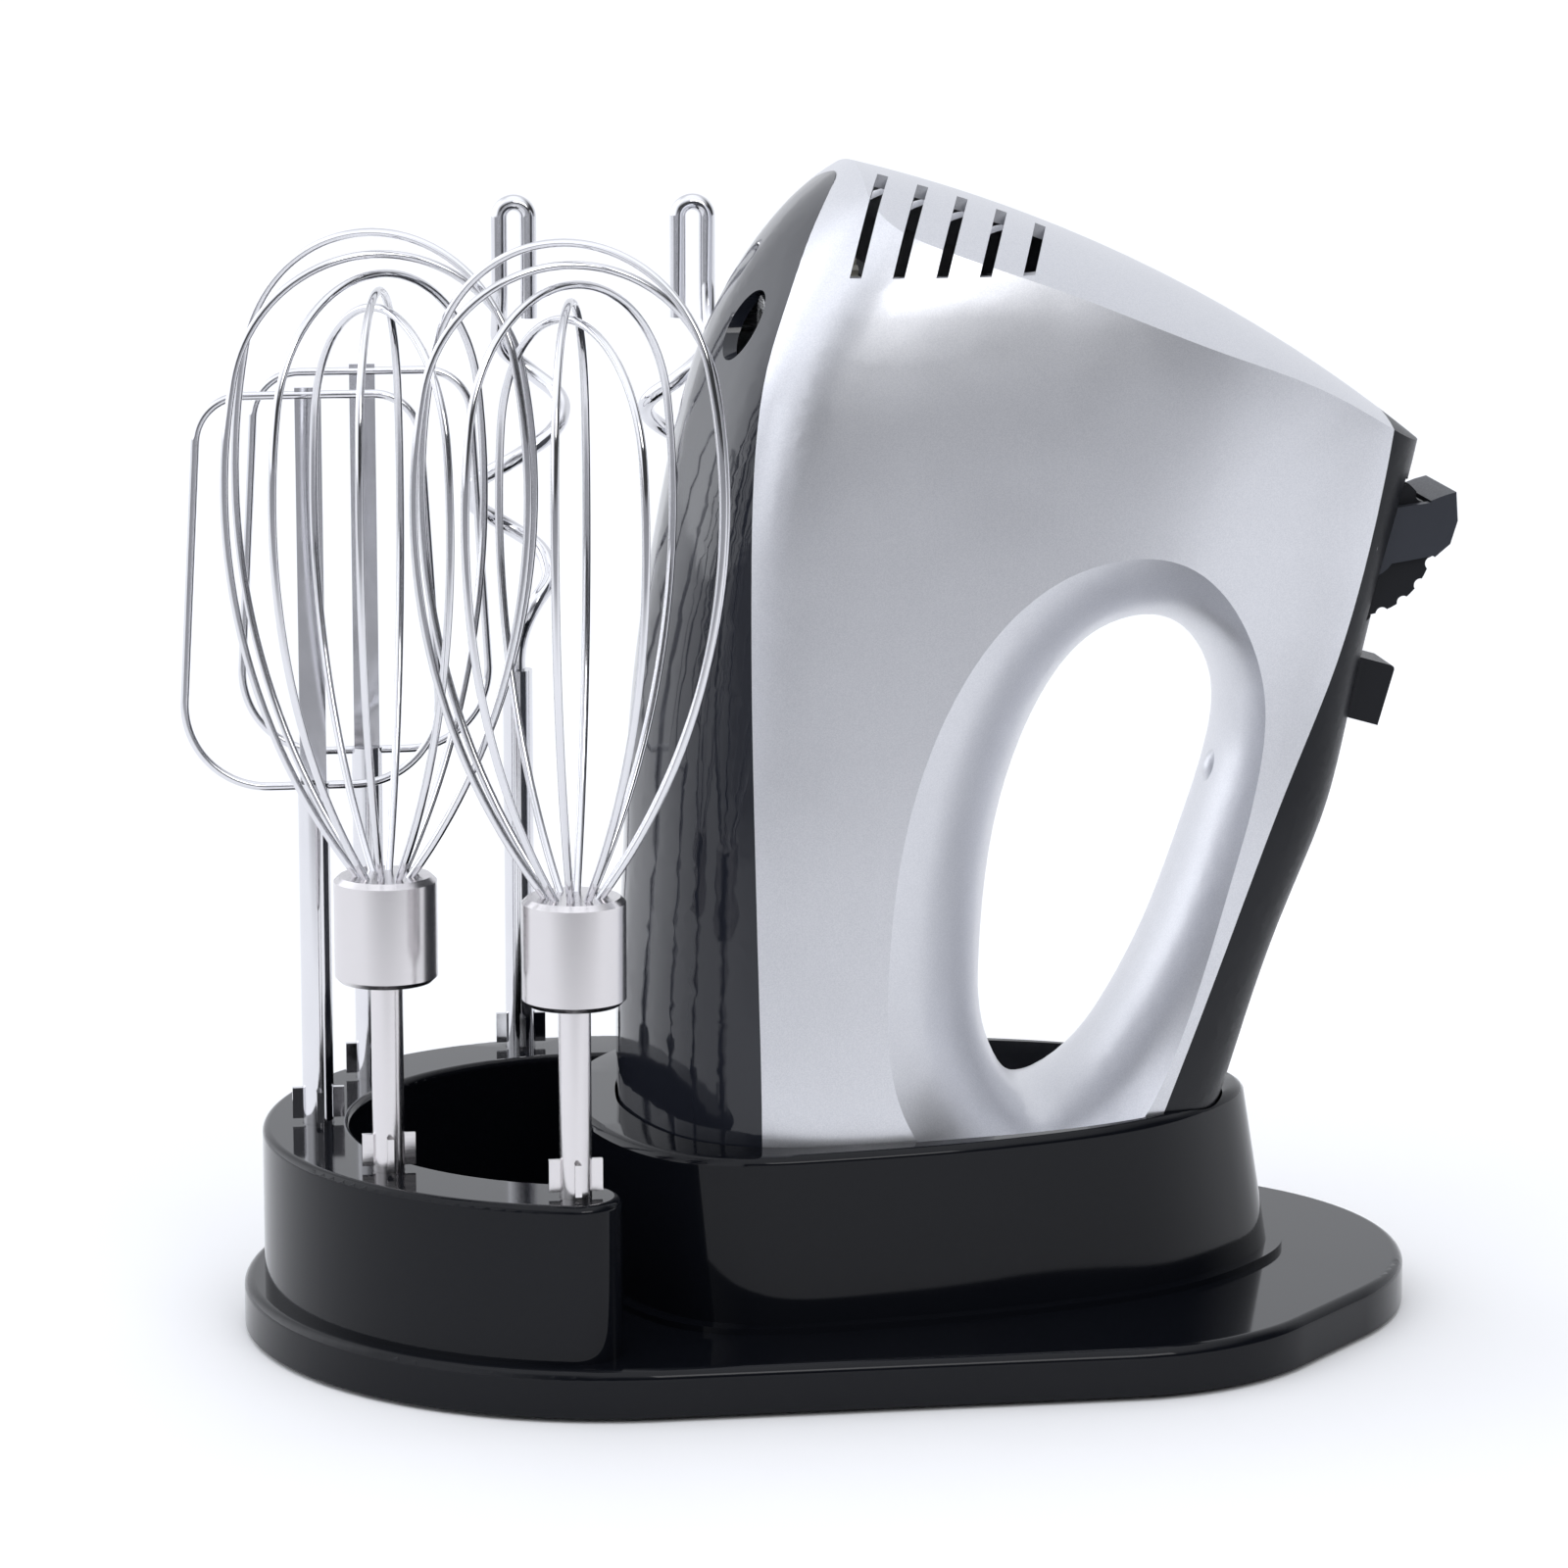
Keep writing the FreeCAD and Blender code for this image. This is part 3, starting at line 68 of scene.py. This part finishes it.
# ---------------------------------------------------------------- materials
class Sheet:
    """One node material: a Principled shader, with helpers for the nodes before it.

    The named values are sockets of the shader, such as metallic or coat_weight.
    """

    def __init__(self, name, **values):
        self.material = bpy.data.materials.new(name)
        self.material.use_nodes = True
        self.nodes = self.material.node_tree.nodes
        self.links = self.material.node_tree.links
        self.shader = self.nodes["Principled BSDF"]
        self.space = self.nodes.new("ShaderNodeTexCoord").outputs["Object"]
        for key, value in values.items():
            self.shader.inputs[key.replace("_", " ").title()].default_value = value

    def stretched(self, scale):
        """Object coordinates, in metres, times a scale for each axis."""
        node = self.nodes.new("ShaderNodeMapping")
        node.inputs["Scale"].default_value = scale
        self.links.new(self.space, node.inputs["Vector"])
        return node.outputs["Vector"]

    def noise(self, scale, detail=2.0, vector=None):
        node = self.nodes.new("ShaderNodeTexNoise")
        node.inputs["Scale"].default_value = scale
        node.inputs["Detail"].default_value = detail
        self.links.new(vector or self.space, node.inputs["Vector"])
        return node.outputs["Fac"]

    def cells(self, scale):
        node = self.nodes.new("ShaderNodeTexVoronoi")
        node.inputs["Scale"].default_value = scale
        self.links.new(self.space, node.inputs["Vector"])
        return node.outputs["Color"]

    def span(self, value, low, high, start=0.3, end=0.7):
        """Maps start..end of a value to low..high."""
        node = self.nodes.new("ShaderNodeMapRange")
        set_range(node, start, end, low, high)
        self.links.new(value, node.inputs["Value"])
        return node.outputs["Result"]

    def mix(self, share, first, second):
        node = self.nodes.new("ShaderNodeMix")
        node.data_type = "RGBA"
        factor, first_colour, second_colour = node.inputs[0], node.inputs[6], node.inputs[7]
        first_colour.default_value = (*first, 1)
        second_colour.default_value = (*second, 1)
        self.links.new(share, factor)
        return node.outputs[2]

    def to(self, socket, value):
        self.links.new(value, self.shader.inputs[socket])

    def bump(self, height, strength, distance):
        node = self.nodes.new("ShaderNodeBump")
        node.inputs["Strength"].default_value = strength
        node.inputs["Distance"].default_value = distance
        self.links.new(height, node.inputs["Height"])
        self.to("Normal", node.outputs["Normal"])


def set_range(node, from_min, from_max, to_min, to_max):
    ends = (("From Min", from_min), ("From Max", from_max), ("To Min", to_min), ("To Max", to_max))
    for key, number in ends:
        node.inputs[key].default_value = number


def scaled(colour, share):
    return tuple(c * share for c in colour)


def gloss(name, colour, roughness, shine):
    """Polished moulded plastic with faint smears and a trace of flow waviness."""
    s = Sheet(name)
    s.shader.inputs["Specular IOR Level"].default_value = shine
    smear = s.noise(28, 4)
    s.to("Base Color", s.mix(smear, scaled(colour, 0.9), scaled(colour, 1.12)))
    s.to("Roughness", s.span(smear, roughness * 0.8, roughness * 1.25))
    s.bump(s.noise(160, 2), 0.05, 0.00002)
    return s.material


def satin(name, colour, roughness, grain=2600, depth=0.00003, shine=0.5):
    """Moulded plastic or rubber with a fine etched grain."""
    s = Sheet(name)
    s.shader.inputs["Specular IOR Level"].default_value = shine
    fine = s.noise(grain, 3)
    s.to("Base Color", s.mix(s.noise(45, 3), scaled(colour, 0.88), scaled(colour, 1.14)))
    s.to("Roughness", s.span(fine, roughness * 0.85, roughness * 1.15))
    s.bump(fine, 0.35, depth)
    return s.material


def silver_paint(name):
    """Satin metallic paint: fine flakes under a soft clear coat."""
    s = Sheet(name, metallic=0.78, coat_weight=0.2, coat_roughness=0.2)
    flakes = s.cells(5200)
    s.to("Base Color", s.mix(flakes, (0.61, 0.62, 0.655), (0.72, 0.725, 0.755)))
    s.to("Roughness", s.span(s.noise(60, 3), 0.31, 0.36))
    s.bump(s.noise(3800, 2), 0.10, 0.00001)
    return s.material


def polished(name, colour, roughness):
    """Polished or plated steel with faint handling marks."""
    s = Sheet(name, metallic=1.0)
    marks = s.noise(140, 4)
    s.to("Base Color", s.mix(marks, scaled(colour, 0.93), colour))
    s.to("Roughness", s.span(marks, roughness * 0.7, roughness * 1.5))
    s.bump(s.noise(900, 2), 0.04, 0.00001)
    return s.material


def brushed(name, colour, roughness, along=(90, 90, 3000)):
    """Turned metal: fine lines round the piece."""
    s = Sheet(name, metallic=1.0, anisotropic=0.5)
    lines = s.noise(1, 3, s.stretched(along))
    s.to("Base Color", s.mix(lines, scaled(colour, 0.92), colour))
    s.to("Roughness", s.span(lines, roughness * 0.85, roughness * 1.2))
    s.bump(lines, 0.06, 0.00001)
    return s.material


def laminated(name, colour):
    """Stacked sheet steel: half-millimetre layers across Z."""
    s = Sheet(name, metallic=0.9, roughness=0.5)
    layers = s.noise(1, 0, s.stretched((3, 3, 2000)))
    s.to("Base Color", s.mix(layers, scaled(colour, 0.6), colour))
    s.bump(layers, 0.5, 0.00006)
    return s.material


def enamelled(name, colour):
    """Copper winding wire, seen as fine turns round the core."""
    s = Sheet(name, metallic=0.85)
    turns = s.noise(1, 1, s.stretched((60, 60, 1800)))
    s.to("Base Color", s.mix(turns, scaled(colour, 0.55), colour))
    s.to("Roughness", s.span(turns, 0.25, 0.5))
    s.bump(turns, 0.6, 0.0001)
    return s.material


MATERIALS = {
    "stand_black": gloss("stand_black", (0.0040, 0.0046, 0.0066), 0.07, 0.2),
    "cover_black": satin("cover_black", (0.02, 0.02, 0.022), 0.6),
    "foot_rubber": satin("foot_rubber", (0.018, 0.018, 0.018), 0.8, 900, 0.0001),
    "screw_steel": brushed("screw_steel", (0.55, 0.55, 0.56), 0.3),
    "silver_shell": silver_paint("silver_shell"),
    "belly_gloss": gloss("belly_gloss", (0.013, 0.0145, 0.0205), 0.06, 0.45),
    "strip_grey": satin("strip_grey", (0.007, 0.0078, 0.0105), 0.38, shine=0.26),
    "lever_grey": satin("lever_grey", (0.030, 0.033, 0.042), 0.40, shine=0.3),
    "inlet_rubber": satin("inlet_rubber", (0.015, 0.015, 0.015), 0.7, 900, 0.0001),
    "bright_steel": polished("bright_steel", (0.74, 0.74, 0.765), 0.09),
    "satin_steel": brushed("satin_steel", (0.70, 0.68, 0.69), 0.19),
    "shaft_steel": brushed("shaft_steel", (0.62, 0.62, 0.62), 0.25),
    "laminations": laminated("laminations", (0.36, 0.36, 0.38)),
    "copper": enamelled("copper", (0.62, 0.27, 0.13)),
    "bronze": brushed("bronze", (0.55, 0.40, 0.21), 0.35),
    "carbon": satin("carbon", (0.03, 0.03, 0.03), 0.6),
    "gear_nylon": satin("gear_nylon", (0.78, 0.76, 0.68), 0.45, 700),
    "frame_nylon": satin("frame_nylon", (0.05, 0.05, 0.055), 0.5, 1200),
    "switch_black": satin("switch_black", (0.025, 0.025, 0.028), 0.5),
    "board_green": satin("board_green", (0.02, 0.12, 0.05), 0.35, 400),
}

SMOOTH = math.radians(32)                # edges sharper than this stay crisp
SHELL_SMOOTH = math.radians(17)          # and on the mixer's lofted shells
WELD = 1e-6                              # metres
FLAT_WEIGHT = 60                         # how much the large faces steer the normals

for part in frame["record"]["subparts"]:
    slot = part["material_slot"]
    piece = nodes[part["node"]]
    piece.data.materials.clear()
    piece.data.materials.append(MATERIALS[slot])
    piece.data.shade_smooth()
    weld = piece.modifiers.new("weld", "WELD")
    weld.merge_threshold = WELD
    split = piece.modifiers.new("crisp", "EDGE_SPLIT")
    split.split_angle = SHELL_SMOOTH if slot == "silver_shell" else SMOOTH
    flats = piece.modifiers.new("flats", "WEIGHTED_NORMAL")
    flats.mode = "FACE_AREA"
    flats.weight = FLAT_WEIGHT

# ---------------------------------------------------------------- floor and light
FLOOR_SIZE = 12                          # metres
WHITE = (0.92, 0.92, 0.925)
PAINTED_SHADE_GREY = (0.26, 0.26, 0.27)                # painted shade: the floor turns grey in front of what the camera sees, darkening what the glossy parts reflect
DIM_FROM, DIM_TO = -0.28, -0.62          # Y where it starts and where it ends, in metres

FRONT = 0.05                             # the strength of the light from each side
BEHIND = 0.95
OVERHEAD = 1.38
LEFT = 1.45
ABOVE = (0.05, -0.4, 0.9)                # where the overhead light is
TINT = (0.96, 0.98, 1.03, 1)


def make_floor():
    bpy.ops.mesh.primitive_plane_add(size=FLOOR_SIZE, location=(0, 0, 0))
    floor = bpy.context.object
    floor.name = "floor"
    s = Sheet("floor", roughness=0.75)
    split = s.nodes.new("ShaderNodeSeparateXYZ")
    s.links.new(s.space, split.inputs[0])
    # painted shade: the white floor colour turns grey towards the front
    s.to("Base Color", s.mix(s.span(split.outputs["Y"], 0, 1, DIM_FROM, DIM_TO), WHITE, PAINTED_SHADE_GREY))
    s.bump(s.noise(900, 2), 0.02, 0.00002)
    floor.data.materials.append(s.material)


def make_light(name, place, width, height, watts):
    """A soft box that faces the middle of the set; place is relative to the aim, in metres."""
    data = bpy.data.lights.new(name, "AREA")
    data.shape = "RECTANGLE"
    data.size = width
    data.size_y = height
    data.energy = watts
    light = bpy.data.objects.new(name, data)
    bpy.context.scene.collection.objects.link(light)
    light.location = AIM + Vector(place)
    light.rotation_mode = "QUATERNION"
    light.rotation_quaternion = Vector(place).to_track_quat("Z", "Y")


def make_world():
    """White behind and to the left, brightest above, and dim on the camera's side."""
    world = bpy.data.worlds.new("studio")
    bpy.context.scene.world = world
    world.use_nodes = True
    sheet, links = world.node_tree.nodes, world.node_tree.links
    space = sheet.new("ShaderNodeTexCoord").outputs["Generated"]
    background = sheet["Background"].inputs

    def towards(direction):
        node = sheet.new("ShaderNodeVectorMath")
        node.operation = "DOT_PRODUCT"
        links.new(space, node.inputs[0])
        node.inputs[1].default_value = Vector(direction).normalized()
        return node.outputs["Value"]

    def ramp(direction, low, high, dark, bright):
        """Dark to bright as the cosine to a direction goes from low to high."""
        node = sheet.new("ShaderNodeMapRange")
        node.interpolation_type = "SMOOTHSTEP"
        set_range(node, low, high, dark, bright)
        links.new(towards(direction), node.inputs["Value"])
        return node.outputs["Result"]

    def plus(first, second):
        node = sheet.new("ShaderNodeMath")
        links.new(first, node.inputs[0])
        links.new(second, node.inputs[1])
        return node.outputs[0]

    total = plus(ramp((0, 1, 0), -0.1, 0.5, FRONT, BEHIND), ramp(ABOVE, 0.55, 0.95, 0, OVERHEAD))
    total = plus(total, ramp((-1, 0, 0), 0.3, 0.85, 0, LEFT))
    links.new(total, background["Strength"])
    background["Color"].default_value = TINT


make_floor()
make_world()
make_light("front", (0.40, -1.2, 0.62), 0.7, 0.4, 3.5)
